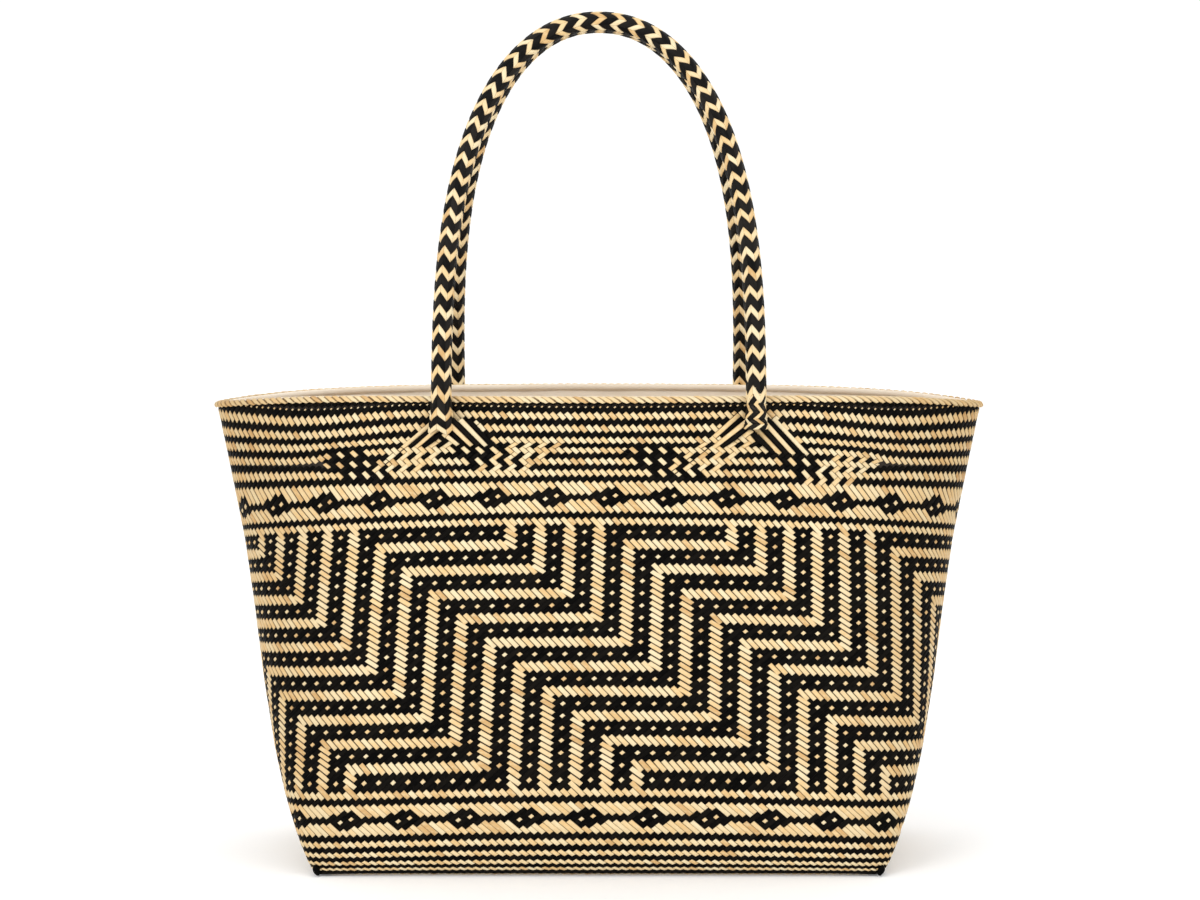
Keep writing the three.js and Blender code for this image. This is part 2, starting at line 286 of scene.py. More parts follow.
def foot_crossing(column, row, falls):
    """What a foot changes at a crossing: which straw is on top, its colour, and the foot."""
    face = "front" if -120 <= column < 120 else "back"
    column = column if face == "front" else column % COLUMNS_ROUND - 240
    for hand, foot in FEET.items():
        rising = column - foot["column"] + row
        falling = column - foot["column"] - row
        if not -60 < falling < 20 or not -20 < rising < 60:
            continue
        for straw, first, last in foot["long_light"]:
            if rising == straw and first <= row <= last and column < foot["column"]:
                falls = False
        for first, last, until in foot["long_dark"]:
            if first <= falling <= last and 5 <= row <= until and column >= foot["column"]:
                falls = True
        light = not falls and any(
            first <= rising <= last and top <= row <= base and rising % 4 == phase
            for first, last, top, base, phase in foot["light"]
        )
        dark = falls and any(
            first <= falling <= last and top <= row <= base and falling % 4 == phase
            for first, last, top, base, phase in foot["dark"]
        )
        colour = "natural" if light or (falls and not dark) else "black"
        inside = rising >= 3 and falling <= -1 and FOOT_FIRST_ROW <= row <= FOOT_LAST_ROW
        place = f"{face}_{hand}" if inside else "wall"
        if light or dark or inside or falls != (colour == "natural"):
            return falls, colour, place
    return falls, "natural" if falls else "black", "wall"


def meander_way(column, row):
    """Whether the meander runs in rows or in columns at a crossing, and its step from a line."""
    diagonal = (column - row + 183) % COLUMNS_ROUND - 183
    edge, way = max(turn for turn in MEANDER_TURNS if turn[0] <= diagonal)
    place = row if way == "rows" else column - edge
    return way, (place - MEANDER_PHASE + 4) % MEANDER_STEP - 4


def natural_on_top(column, row):
    """True where natural straw, which falls to the right, lies over black at a crossing."""
    for first, last in NATURAL_ROWS:
        if first <= row <= last:
            return True
    for first, middle in DIAMOND_BANDS:
        step = row - first
        if 0 <= step <= 9:
            across = (column - middle + 7) % DIAMOND_WIDTH - 7
            if step in DIAMOND_DOT:
                return across == DIAMOND_DOT[step]
            return across not in DIAMOND_BLACK.get(step, ())
    if MEANDER_FIRST_ROW <= row <= MEANDER_LAST_ROW:
        way, step = meander_way(column, row)
        return abs(step) <= 1 or (abs(step) == 4 and (column - row) % 4 == 1)
    return False


FIRST_ROW = -1
LAST_ROW = 159
# Sizes of a straw that shows at one crossing only, and of the specks under the binding
DOT_SIZE = 0.86
SPECK_SIZE = 0.45
# How far a straw leans from the lattice: more upright in rows, flatter in the columns
LEAN_IN_ROWS = -0.09
LEAN_IN_COLUMNS = 0.17


def plait_floats():
    """Each visible stretch of straw: first crossing, length, way, colour, lean and place."""
    on_top = {}
    for row in range(FIRST_ROW, LAST_ROW + 1):
        for column in range(COLUMNS_ROUND):
            off = abs((column + 120) % 240 - 120)
            lost = 0 <= row - LOST_FIRST_ROW < LOST_ROWS and off > LOST_FROM_COLUMN
            if (column + row) % 2 and not lost:
                signed = column - COLUMNS_ROUND if column >= 240 else column
                falls = natural_on_top(signed, row)
                on_top[(column, row)] = foot_crossing(signed, row, falls)
    made = {}
    for (column, row), kind in on_top.items():
        falls, colour, place = kind
        way = 1 if falls else -1
        before = ((column - way) % COLUMNS_ROUND, row - 1)
        if on_top.get(before) == kind:
            continue
        count = 1
        while on_top.get(((column + way * count) % COLUMNS_ROUND, row + count)) == kind:
            count += 1
        lean = LEAN_IN_ROWS
        if falls and count > 1 and MEANDER_FIRST_ROW <= row <= MEANDER_LAST_ROW:
            signed = column - COLUMNS_ROUND if column >= 240 else column
            if meander_way(signed + 1, row + 1)[0] == "columns":
                lean = LEAN_IN_COLUMNS
        if not falls or count == 1 or row + count - 1 > MEANDER_LAST_ROW:
            lean = 0
        made.setdefault((place, colour), []).append((column, row, count, way, lean))
    return made


def float_mesh(name, groups, surface, crown, edge, end_gap=0.0):
    """Domed straws joined into one mesh. groups pairs a material with its straws."""
    records = np.array([straw for _, straws in groups for straw in straws], dtype=float)
    slots = np.concatenate([np.full(len(straws), i) for i, (_, straws) in enumerate(groups)])
    column, row, count, way, lean = (records[:, k, None, None] for k in range(5))
    total = len(records)
    single = (count[:, 0, 0] == 1) & (way[:, 0, 0] > 0)
    speck = single & (row[:, 0, 0] == 0)
    small = np.where(speck, SPECK_SIZE, np.where(single, DOT_SIZE, 1.0))
    row = row + np.where(speck, 0.45, 0.0)[:, None, None]
    size = count[:, 0, 0] / 2 * small
    inner = np.maximum(0.1, size - 0.17)
    along = np.stack([-size + end_gap, -inner, inner, size - end_gap], axis=1)[:, :, None]
    wide = (0.5 - 0.03 * random.rand(total)) * small
    across = np.stack([-wide, -wide * 0.74, wide * 0.74, wide], axis=1)[:, None, :]
    lift = (crown * (0.8 + 0.3 * random.rand(total)))[:, None, None]
    slip = random.normal(0, 0.025, (total, 1, 1))
    columns = column + way * (count - 1) / 2 + way * along * (1 + lean) - way * across
    rows = row + (count - 1) / 2 + along * (1 - lean) + across + slip
    dome = np.array([0, 1, 1, 0.0])
    rise = dome[None, :, None] * dome[None, None, :]
    points = surface(columns, rows, edge + (lift - edge) * rise)
    grid = np.arange(16).reshape(4, 4)
    quads = np.stack([grid[:-1, :-1], grid[:-1, 1:], grid[1:, 1:], grid[1:, :-1]], axis=-1)
    quads = np.broadcast_to(quads.reshape(-1, 4), (total, 9, 4))
    quads = np.where(way > 0, quads, quads[:, :, ::-1])
    faces = (np.arange(total)[:, None, None] * 16 + quads).reshape(-1, 4)
    tones = np.repeat(random.rand(total), 16)
    lengths = np.broadcast_to(along, (total, 4, 4)).reshape(-1)
    sides = np.broadcast_to(across, (total, 4, 4)).reshape(-1)
    made = joined_mesh(
        name, points.reshape(-1, 3) * MM, faces, lengths + tones * 37, sides, tones
    )
    for material, _ in groups:
        made.data.materials.append(material)
    made.data.polygons.foreach_set("material_index", np.repeat(slots, 9).astype(np.int32))
    return made


def joined_mesh(name, vertices, faces, lengths, sides, tones):
    """A mesh from arrays, with a straw map of length and side, and a tone for each straw."""
    mesh = bpy.data.meshes.new(name)
    mesh.vertices.add(len(vertices))
    mesh.vertices.foreach_set("co", vertices.astype(np.float32).ravel())
    mesh.loops.add(faces.size)
    mesh.loops.foreach_set("vertex_index", faces.ravel().astype(np.int32))
    mesh.polygons.add(len(faces))
    mesh.polygons.foreach_set("loop_start", np.arange(0, faces.size, 4, dtype=np.int32))
    mesh.polygons.foreach_set("use_smooth", np.ones(len(faces), dtype=bool))
    mesh.update(calc_edges=True)
    straw_map = mesh.uv_layers.new(name="straw")
    pairs = np.stack([lengths[faces.ravel()], sides[faces.ravel()] + 0.5], axis=1)
    straw_map.data.foreach_set("uv", pairs.astype(np.float32).ravel())
    tone = mesh.attributes.new("tone", "FLOAT", "POINT")
    tone.data.foreach_set("value", tones.astype(np.float32))
    made = bpy.data.objects.new(name, mesh)
    bpy.context.scene.collection.objects.link(made)
    return made


# Materials

FIBRE_DEPTH = 0.00012
# Painted shade darkens the straw towards the bag's two ends, where its sides turn from the light: its
# tint, and where along X it starts and ends
END_SHADE_TINT = (0.7, 0.62, 0.5)
END_SHADE_FROM = 0.13
END_SHADE_LENGTH = 0.09
# Tones of the natural straw, the dyed straw and the cloth, as linear colours
STRAW_LIGHT = (0.85, 0.72, 0.46)
STRAW_MIDDLE = (0.8, 0.55, 0.25)
STRAW_DARK = (0.62, 0.38, 0.15)
# Painted shade at the straws' edges, where each meets and dips under its neighbours
STRAW_EDGE_SHADE = (0.2, 0.09, 0.03)
DYED_DARK = (0.0012, 0.001, 0.0008)
DYED_LIGHT = (0.008, 0.0066, 0.005)
BRAID_DYED_LIGHT = (0.016, 0.0135, 0.011)
CLOTH_LIGHT = (0.97, 0.9, 0.79)
CLOTH_DARK = (0.78, 0.64, 0.48)


def node(tree, kind, inputs=(), **settings):
    """Adds a node. inputs pairs a socket's name or place with a value or another socket."""
    made = tree.nodes.new(kind)
    for key, value in settings.items():
        setattr(made, key, value)
    for key, value in dict(inputs).items():
        if isinstance(value, bpy.types.NodeSocket):
            tree.links.new(value, made.inputs[key])
        else:
            made.inputs[key].default_value = value
    return made


def maths(tree, operation, first, second=0.5, clamp=False):
    made = node(tree, "ShaderNodeMath", {0: first, 1: second}, operation=operation)
    made.use_clamp = clamp
    return made.outputs[0]


def blend_colours(tree, share, first, second, way="MIX"):
    first = (*first, 1) if isinstance(first, tuple) else first
    second = (*second, 1) if isinstance(second, tuple) else second
    made = node(
        tree, "ShaderNodeMix", {0: share, 6: first, 7: second}, data_type="RGBA", blend_type=way
    )
    return made.outputs[2]


def group_of(name, inputs, outputs):
    tree = bpy.data.node_groups.new(name, "ShaderNodeTree")
    for label, kind, value in inputs:
        made = tree.interface.new_socket(label, in_out="INPUT", socket_type=kind)
        if value is not None:
            made.default_value = value
    for label, kind in outputs:
        tree.interface.new_socket(label, in_out="OUTPUT", socket_type=kind)
    return tree, tree.nodes.new("NodeGroupInput"), tree.nodes.new("NodeGroupOutput")


def straw_grain_group():
    """Fibres along a straw, slow changes from straw to straw, and the shade at its edges."""
    tree, given, result = group_of(
        "straw_grain",
        [
            ("Straw", "NodeSocketVector", None),
            ("Along", "NodeSocketFloat", 0.7),
            ("Across", "NodeSocketFloat", 9.0),
            ("Edge Width", "NodeSocketFloat", 0.11),
        ],
        [
            ("Fibre", "NodeSocketFloat"),
            ("Blotch", "NodeSocketFloat"),
            ("Edge", "NodeSocketFloat"),
        ],
    )
    parts = node(tree, "ShaderNodeSeparateXYZ", {0: given.outputs["Straw"]})
    along = maths(tree, "MULTIPLY", parts.outputs[0], given.outputs["Along"])
    across = maths(tree, "MULTIPLY", parts.outputs[1], given.outputs["Across"])
    place = node(tree, "ShaderNodeCombineXYZ", {0: along, 1: across})
    fibre = node(
        tree, "ShaderNodeTexNoise", {"Vector": place.outputs[0], "Scale": 1.6, "Detail": 3.0}
    )
    slow = node(tree, "ShaderNodeCombineXYZ", {0: along, 1: parts.outputs[1]})
    blotch = node(
        tree, "ShaderNodeTexNoise", {"Vector": slow.outputs[0], "Scale": 1.1, "Detail": 1.0}
    )
    off = maths(tree, "ABSOLUTE", maths(tree, "SUBTRACT", parts.outputs[1], 0.5))
    near = maths(tree, "SUBTRACT", off, maths(tree, "SUBTRACT", 0.5, given.outputs["Edge Width"]))
    edge = maths(tree, "DIVIDE", near, given.outputs["Edge Width"], clamp=True)
    tree.links.new(fibre.outputs[0], result.inputs["Fibre"])
    tree.links.new(blotch.outputs[0], result.inputs["Blotch"])
    tree.links.new(edge, result.inputs["Edge"])
    return tree


straw_grain = straw_grain_group()


def base_material(name, rough, sheen=0.0):
    made = bpy.data.materials.new(name)
    made.use_nodes = True
    shader = made.node_tree.nodes["Principled BSDF"]
    shader.inputs["Roughness"].default_value = rough
    shader.inputs["Sheen Weight"].default_value = sheen
    return made, made.node_tree, shader


def straw_material(name, light, middle, dark, edge_shade_colour, rough, gloss, edge_share, edge_width=0.11):
    """Satin straw: each straw has its own tone, fibres run along it and its edges get painted shade."""
    made, tree, shader = base_material(name, rough)
    shader.inputs["Specular IOR Level"].default_value = gloss
    straw = node(tree, "ShaderNodeUVMap", uv_map="straw")
    tone = node(tree, "ShaderNodeAttribute", attribute_name="tone")
    grain = node(tree, "ShaderNodeGroup", node_tree=straw_grain)
    grain.inputs["Edge Width"].default_value = edge_width
    tree.links.new(straw.outputs[0], grain.inputs["Straw"])
    tones = node(tree, "ShaderNodeValToRGB", {0: tone.outputs["Fac"]})
    ramp = tones.color_ramp
    ramp.elements[0].color = (*dark, 1)
    ramp.elements[1].color = (*light, 1)
    ramp.elements.new(0.12).color = (*middle, 1)
    streak = maths(tree, "MULTIPLY", maths(tree, "SUBTRACT", grain.outputs["Fibre"], 0.45), 1.3)
    streaked = blend_colours(tree, maths(tree, "ADD", streak, 0.0, True), tones.outputs[0], dark)
    patch = maths(tree, "MULTIPLY", maths(tree, "SUBTRACT", grain.outputs["Blotch"], 0.45), 1.6)
    patched = blend_colours(tree, maths(tree, "ADD", patch, 0.0, True), streaked, light)
    # Painted shade darkens each straw towards its edges
    shade = maths(tree, "MULTIPLY", grain.outputs["Edge"], edge_share)
    coloured = blend_colours(tree, shade, patched, edge_shade_colour)
    place = node(tree, "ShaderNodeTexCoord")
    parts = node(tree, "ShaderNodeSeparateXYZ", {0: place.outputs["Object"]})
    # Painted shade: the straw darkens towards the bag's two ends
    past = maths(tree, "SUBTRACT", maths(tree, "ABSOLUTE", parts.outputs[0]), END_SHADE_FROM)
    end_shade_share = maths(tree, "DIVIDE", past, END_SHADE_LENGTH, clamp=True)
    end_shaded = blend_colours(tree, end_shade_share, coloured, END_SHADE_TINT, "MULTIPLY")
    tree.links.new(end_shaded, shader.inputs["Base Color"])
    roughness = maths(tree, "ADD", maths(tree, "MULTIPLY", grain.outputs["Fibre"], 0.25), rough - 0.1)
    tree.links.new(roughness, shader.inputs["Roughness"])
    bump = node(
        tree,
        "ShaderNodeBump",
        {"Strength": 0.5, "Distance": FIBRE_DEPTH, "Height": grain.outputs["Fibre"]},
    )
    tree.links.new(bump.outputs[0], shader.inputs["Normal"])
    return made


def core_material():
    """The dark hollows between the straws."""
    made, tree, shader = base_material("plait_shadow", 0.8)
    place = node(tree, "ShaderNodeTexCoord")
    cloud = node(
        tree, "ShaderNodeTexNoise", {"Vector": place.outputs["Object"], "Scale": 260.0}
    )
    colour = blend_colours(tree, cloud.outputs[0], (0.03, 0.018, 0.009), (0.006, 0.004, 0.003))
    tree.links.new(colour, shader.inputs["Base Color"])
    return made


def cloth_material(name, light, dark):
    """Plain weave cotton, with fine threads and soft darker and lighter blotches."""
    made, tree, shader = base_material(name, 0.85, 0.15)
    place = node(tree, "ShaderNodeTexCoord")
    threads = []
    for direction, bands in (("X", "X"), ("Z", "Z")):
        threads.append(
            node(
                tree,
                "ShaderNodeTexWave",
                {"Vector": place.outputs["Object"], "Scale": 620.0, "Distortion": 1.5},
                bands_direction=bands,
            ).outputs[1]
        )
    weave = maths(tree, "MAXIMUM", threads[0], threads[1])
    # Soft darker and lighter blotches from noise
    cloth_blotch = node(
        tree,
        "ShaderNodeTexNoise",
        {"Vector": place.outputs["Object"], "Scale": 28.0, "Detail": 4.0},
    )
    soft = blend_colours(tree, cloth_blotch.outputs[0], dark, light)
    shade = maths(tree, "MULTIPLY", weave, 0.22)
    tree.links.new(blend_colours(tree, shade, soft, dark), shader.inputs["Base Color"])
    bump = node(
        tree, "ShaderNodeBump", {"Strength": 0.35, "Distance": 0.0002, "Height": weave}
    )
    tree.links.new(bump.outputs[0], shader.inputs["Normal"])
    return made


natural_straw = straw_material(
    "natural_straw", STRAW_LIGHT, STRAW_MIDDLE, STRAW_DARK, STRAW_EDGE_SHADE, 0.45, 0.35, 0.75
)
# The wraps take wider, stronger painted shade at their edges
wrap_straw = straw_material(
    "wrap_straw", STRAW_LIGHT, STRAW_MIDDLE, STRAW_DARK, STRAW_EDGE_SHADE, 0.45, 0.35, 0.9, 0.2
)
dyed_straw = straw_material(
    "black_straw", DYED_LIGHT, DYED_DARK, DYED_DARK, DYED_DARK, 0.5, 0.04, 0.6
)
braid_dyed_straw = straw_material(
    "black_braid_straw", BRAID_DYED_LIGHT, DYED_DARK, DYED_DARK, DYED_DARK, 0.5, 0.1, 0.6
)
plait_shadow = core_material()
lining_cloth = cloth_material("lining_cloth", CLOTH_LIGHT, CLOTH_DARK)

# The woven wall

floats = plait_floats()
natural_plait = float_mesh(
    "natural_plait", [(natural_straw, floats[("wall", "natural")])], lattice_point, 0.32, -0.1, 0.08
)
black_plait = float_mesh(
    "black_plait", [(dyed_straw, floats[("wall", "black")])], lattice_point, 0.24, -0.15
)


def ring_mesh(name, rings, material, caps=False, smooth=True, closed=False):
    """A lofted mesh from rings of equal count, each an array of points in millimetres."""
    count = len(rings[0])
    vertices = np.concatenate(rings) * MM
    faces = []
    bands = len(rings) if closed else len(rings) - 1
    for band in range(bands):
        low = band * count
        high = ((band + 1) % len(rings)) * count
        for i in range(count):
            j = (i + 1) % count
            faces.append((low + i, low + j, high + j, high + i))
    if caps:
        faces.append(tuple(reversed(range(count))))
        faces.append(tuple(range(len(vertices) - count, len(vertices))))
    mesh = bpy.data.meshes.new(name)
    mesh.from_pydata(vertices.tolist(), [], faces)
    mesh.polygons.foreach_set("use_smooth", [smooth] * len(faces))
    mesh.materials.append(material)
    made = bpy.data.objects.new(name, mesh)
    bpy.context.scene.collection.objects.link(made)
    return made


AROUND = np.linspace(0, 4, 361)[:-1]


def wall_ring(height, inset):
    """A ring of the wall at a height, inset along its normal. Height may vary round it."""
    heights = np.broadcast_to(np.asarray(height, dtype=float), AROUND.shape)
    normal = wall_normal(AROUND, np.maximum(heights, 1.0))
    normal[:, 2] = 0
    normal /= np.linalg.norm(normal, axis=1, keepdims=True)
    return wall_point(AROUND, heights) - normal * np.asarray(inset)[..., None]


def rim_height(drop):
    """The height of the rim round the bag, less a drop."""
    x = outline_point(np.ones(AROUND.shape), AROUND)[0]
    return wall_top(x) - drop


# A dark core under the straws, as painted shadow in the gaps between them
LEVELS = [0.5, 1, 2, 3.5, 5.5, 8, 11, 15, 22, 32, 45, 60, 80, 100, 125, 150, 175, 200, 225, 245]
outside = [wall_ring(z, 0.75) for z in LEVELS] + [wall_ring(rim_height(0.4), 0.75)]
inside = [wall_ring(rim_height(0.4), 2.3)] + [wall_ring(z, 2.3) for z in LEVELS[:2:-1]]
plait_core = ring_mesh("plait_core", outside + inside, plait_shadow, caps=True)
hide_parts("woven_body")
for piece in (natural_plait, black_plait, plait_core):
    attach(piece, "root")

# Base and corners

BASE_COLUMN_PITCH = 2.2
BASE_ROW_PITCH = 1.9
BASE_COLUMNS = 70
BASE_ROWS = 36


def base_surface(columns, rows, proud):
    """The flat underside, just above the floor, with the plait facing down."""
    x = np.clip(columns * BASE_COLUMN_PITCH, -156, 156)
    y = np.clip(rows * BASE_ROW_PITCH, -70, 70)
    return np.stack([x, y, np.maximum(0.0, 0.36 - proud)], axis=-1)


base_light = []
base_dark = []
for row in range(-BASE_ROWS, BASE_ROWS + 1, 2):
    for column in range(-BASE_COLUMNS, BASE_COLUMNS + 1):
        if (column + row) % 2 and row % 4 == 0:
            base_light.append((column, row, 2, 1, 0))
        elif (column + row) % 2:
            base_dark.append((column, row, 2, -1, 0))
base_plait = float_mesh(
    "base_plait", [(natural_straw, base_light), (dyed_straw, base_dark)], base_surface, 0.3, -0.1
)

# The small dark tips where the plait turns at the base's corners: sizes in millimetres
TIP_PLACE = (160.2, 73.6)
TIP_RADIUS = 2.2
TIP_HEIGHT = 6.5


def corner_tip(name, side, face):
    """One rounded tip, from rings that close at the top and the bottom."""
    around = np.linspace(0, 2 * math.pi, 13)[:-1]
    rings = []
    for share in np.linspace(0.04, 0.98, 7):
        reach = TIP_RADIUS * math.sin(math.pi * share) ** 0.6
        centre = np.array([side * (TIP_PLACE[0] + 1.6 * share), face * TIP_PLACE[1], 0.0])
        height = np.full(around.shape, TIP_HEIGHT * share)
        ring = np.stack([np.cos(around) * reach, np.sin(around) * reach, height], axis=1)
        rings.append(ring + centre)
    return ring_mesh(name, rings, dyed_straw, caps=True)


tips = [
    corner_tip(f"corner_tip_{face_name}_{side_name}", side, face)
    for side, side_name in ((-1, "left"), (1, "right"))
    for face, face_name in ((-1, "front"), (1, "back"))
]
for piece in (base_plait, *tips):
    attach(piece, "root")

# Rim binding

WRAP_COUNT = 218
WRAP_SLANT = 6.6
WRAP_SCALLOP = np.array([0.9, 0.5] + [0.0] * 7 + [0.4, 0.8])
# The hood that the wraps follow over the rim, from outside below to inside below:
# distance out from the wall's outer face, height above the rim, and shift along it in wraps
HOOD = np.array(
    [
        (0.6, -1.8, 0.3),
        (1.3, -1.5, 0.25),
        (1.75, -0.8, 0.12),
        (1.7, 0.1, 0.0),
        (1.1, 1.0, -0.25),
        (-0.4, 1.75, -0.5),
        (-2.2, 1.7, -0.75),
        (-3.6, 0.9, -1.0),
        (-4.1, -0.6, -1.25),
        (-4.1, -2.0, -1.45),
        (-3.5, -2.9, -1.6),
    ]
)


def wrap_mesh():
    """The wraps of the binding, each a domed band that slants over the rim."""
    across = np.array([-0.485, -0.36, 0.0, 0.36, 0.485])
    rise = np.array([-0.6, 0.08, 0.4, 0.12, -0.55])
    index = np.arange(WRAP_COUNT)
    jitter = random.normal(0, 0.05, WRAP_COUNT)
    turn = (index + jitter)[:, None, None] * 4 / WRAP_COUNT
    step = 4 / WRAP_COUNT
    slant = WRAP_SLANT / 4.8
    turns = turn + step * (HOOD[None, :, None, 2] * slant + across[None, None, :])
    share = np.ones(turns.shape)
    x, y = outline_point(share, turns)
    forward = np.stack(outline_point(share, turns + 0.002), axis=-1)
    backward = np.stack(outline_point(share, turns - 0.002), axis=-1)
    tangent = forward - backward
    tangent /= np.linalg.norm(tangent, axis=-1, keepdims=True)
    out = np.stack([tangent[..., 1], -tangent[..., 0]], axis=-1)
    centre = np.array([-1.2, -0.9])
    spokes = HOOD[:, :2] - centre
    spokes /= np.linalg.norm(spokes, axis=1, keepdims=True)
    size = 0.75 + 0.5 * random.rand(WRAP_COUNT)
    lift = rise[None, None, :] * size[:, None, None]
    scallop = WRAP_SCALLOP[None, :, None] * (across[None, None, :] / 0.485) ** 2
    away = HOOD[None, :, None, 0] + spokes[None, :, None, 0] * lift
    up = HOOD[None, :, None, 1] + spokes[None, :, None, 1] * lift + scallop
    points = np.stack([x + out[..., 0] * away, y + out[..., 1] * away, wall_top(x) + up], axis=-1)
    rows, columns = len(HOOD), len(across)
    grid = np.arange(rows * columns).reshape(rows, columns)
    quads = np.stack([grid[:-1, :-1], grid[:-1, 1:], grid[1:, 1:], grid[1:, :-1]], axis=-1)
    quads = quads.reshape(-1, 4)
    faces = (index[:, None, None] * rows * columns + quads[None]).reshape(-1, 4)
    along = np.broadcast_to(np.arange(rows)[None, :, None] * 0.5, points.shape[:3]).reshape(-1)
    sides = np.broadcast_to(across[None, None, :], points.shape[:3]).reshape(-1)
    tones = np.repeat(random.rand(WRAP_COUNT), rows * columns)
    made = joined_mesh(
        "rim_wraps", points.reshape(-1, 3) * MM, faces, along + tones * 37, sides, tones
    )
    made.data.materials.append(wrap_straw)
    return made


rim_wraps = wrap_mesh()
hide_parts("rim_binding")
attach(rim_wraps, "root")

# Lining and hem


def cloth_ripple(size):
    """A slow seeded ripple round the bag."""
    waves = np.zeros(AROUND.shape)
    for count in (5, 9, 14, 23, 37):
        waves += np.sin(AROUND * math.pi / 2 * count + random.rand() * 6.3) * random.rand() / count**0.5
    return size * waves


lining_rings = []
lining_levels = [3.4, 3.6, 4.2, 5.5, 8, 12, 20, 35, 55, 80, 110, 140, 170, 195, 215, 232, 245]
for level in lining_levels:
    wave = cloth_ripple(0.5) if level > 8 else 0
    lining_rings.append(wall_ring(level, 3.0 + max(0, 4.2 - level) * 2 + np.abs(wave)))
lining_rings.append(wall_ring(rim_height(9), 3.2 + np.abs(cloth_ripple(0.4))))
lining_rings.append(wall_ring(rim_height(1.8), 4.6))
lining = ring_mesh("lining_sheet", lining_rings, lining_cloth)


def close_floor(piece, count, height):
    """Closes the lining's floor with shrinking rings towards the middle."""
    mesh = piece.data
    first = np.array([v.co[:] for v in mesh.vertices[:count]])
    rings = [first * np.array([k, k, 1]) for k in (0.9, 0.75, 0.5, 0.25)]
    start = len(mesh.vertices)
    rows = [list(range(count))]
    for ring in rings:
        mesh_start = start + (len(rows) - 1) * count
        rows.append(list(range(mesh_start, mesh_start + count)))
    vertices = [v.co[:] for v in mesh.vertices] + [tuple(p) for p in np.concatenate(rings)]
    vertices.append((0, 0, height * MM))
    faces = [tuple(p.vertices) for p in mesh.polygons]
    for outer, inner in zip(rows, rows[1:]):
        for i in range(count):
            j = (i + 1) % count
            faces.append((outer[j], outer[i], inner[i], inner[j]))
    for i in range(count):
        faces.append((rows[-1][(i + 1) % count], rows[-1][i], len(vertices) - 1))
    made = bpy.data.meshes.new(piece.name)
    made.from_pydata(vertices, [], faces)
    made.polygons.foreach_set("use_smooth", [True] * len(faces))
    made.materials.append(mesh.materials[0])
    piece.data = made


close_floor(lining, len(AROUND), 3.4)
thickness = lining.modifiers.new("cloth_thickness", "SOLIDIFY")
thickness.thickness = 0.0006
thickness.offset = 0

# The rolled hem's section: distance in from the wall's outer face and height below the rim
HEM = [
    (4.45, 2.0), (4.5, 0.2), (4.6, -1.2), (5.1, -1.8), (5.8, -1.85), (6.5, -1.3), (6.75, -0.3),
    (6.6, 0.8), (6.0, 1.5), (5.5, 1.6), (5.3, 2.0), (5.0, 2.3),
]
hem_ripple = cloth_ripple(0.32)
hem_rings = [wall_ring(rim_height(drop + hem_ripple * 0.6), inset + hem_ripple) for inset, drop in HEM]
hem = ring_mesh("lining_roll", hem_rings, lining_cloth, closed=True)
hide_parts("lining")
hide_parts("lining_hem")
for piece in (lining, hem):
    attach(piece, "root")

# Handles

HANDLE_DIAMETER = 11
HANDLE_SPACING = 177
HANDLE_ARCH_HEIGHT = 213
HANDLE_SPRING_ABOVE_RIM = 4
HANDLE_BELOW_RIM = 20
HANDLE_APEX_GAP = 0.7
ARCH_POWER_ACROSS = 2.14
ARCH_POWER_UP = 2.74
LEAN_POWER = 1.2
CLEARANCE = 0.35
BINDING_THICKNESS = 1.3

BRAID_COLUMNS = 8
BRAID_PERIOD = 11.6
BRAID_SLOPE = 5.2
BRAID_NATURAL = 4.8
BRAID_TURN = math.radians(-24)
# Where the chevrons end before the front handle's right foot, and the zigzags that follow
CHEVRONS_END = 17.5
ZIGZAG_STEPS = 6
ZIGZAG_STEP = 4.5
ZIGZAG_PITCH = 3.4
ZIGZAG_SWING = 2.0
ZIGZAG_HALF = {"natural": 0.38, "black": 0.61}
ZIGZAG_SHIFT = 1.5
# Towards its ends a handle widens, closes up and leans in to the wall
END_WIDENING = 0.4
END_WIDENING_LENGTH = 22
END_CLOSING = 3.6
END_LEAN = 3.0
END_LEAN_LENGTH = 12


def wall_depth(x, z):
    half_width, half_depth, corner = section_at(z / wall_top(x))
    return half_depth * (1 - (abs(x) / half_width) ** corner) ** (1 / corner)


handle_radius = HANDLE_DIAMETER / 2
foot_x = HANDLE_SPACING / 2
handle_end = wall_top(foot_x) - HANDLE_BELOW_RIM
handle_spring = wall_top(foot_x) + HANDLE_SPRING_ABOVE_RIM
foot_y = wall_depth(foot_x, wall_top(foot_x)) + CLEARANCE * 2 + BINDING_THICKNESS + handle_radius
apex_y = handle_radius + HANDLE_APEX_GAP / 2


def handle_line():
    """The front handle's middle line in even steps, from the left foot to the right one."""
    turn = np.linspace(math.pi, 0, 2401)
    across = np.cos(turn)
    rise = np.abs(np.sin(turn)) ** (2 / ARCH_POWER_UP)
    x = np.sign(across) * np.abs(across) ** (2 / ARCH_POWER_ACROSS) * foot_x
    y = -(foot_y + (apex_y - foot_y) * rise**LEAN_POWER)
    z = handle_spring + rise * HANDLE_ARCH_HEIGHT
    arch = np.stack([x, y, z], axis=1)
    line = np.concatenate([[(-foot_x, -foot_y, handle_end)], arch, [(foot_x, -foot_y, handle_end)]])
    steps = np.concatenate([[0], np.cumsum(np.linalg.norm(np.diff(line, axis=0), axis=1))])
    even = np.linspace(0, steps[-1], 1201)
    return np.stack([np.interp(even, steps, line[:, k]) for k in range(3)], axis=1), steps[-1]


HANDLE_LINE, HANDLE_LENGTH = handle_line()


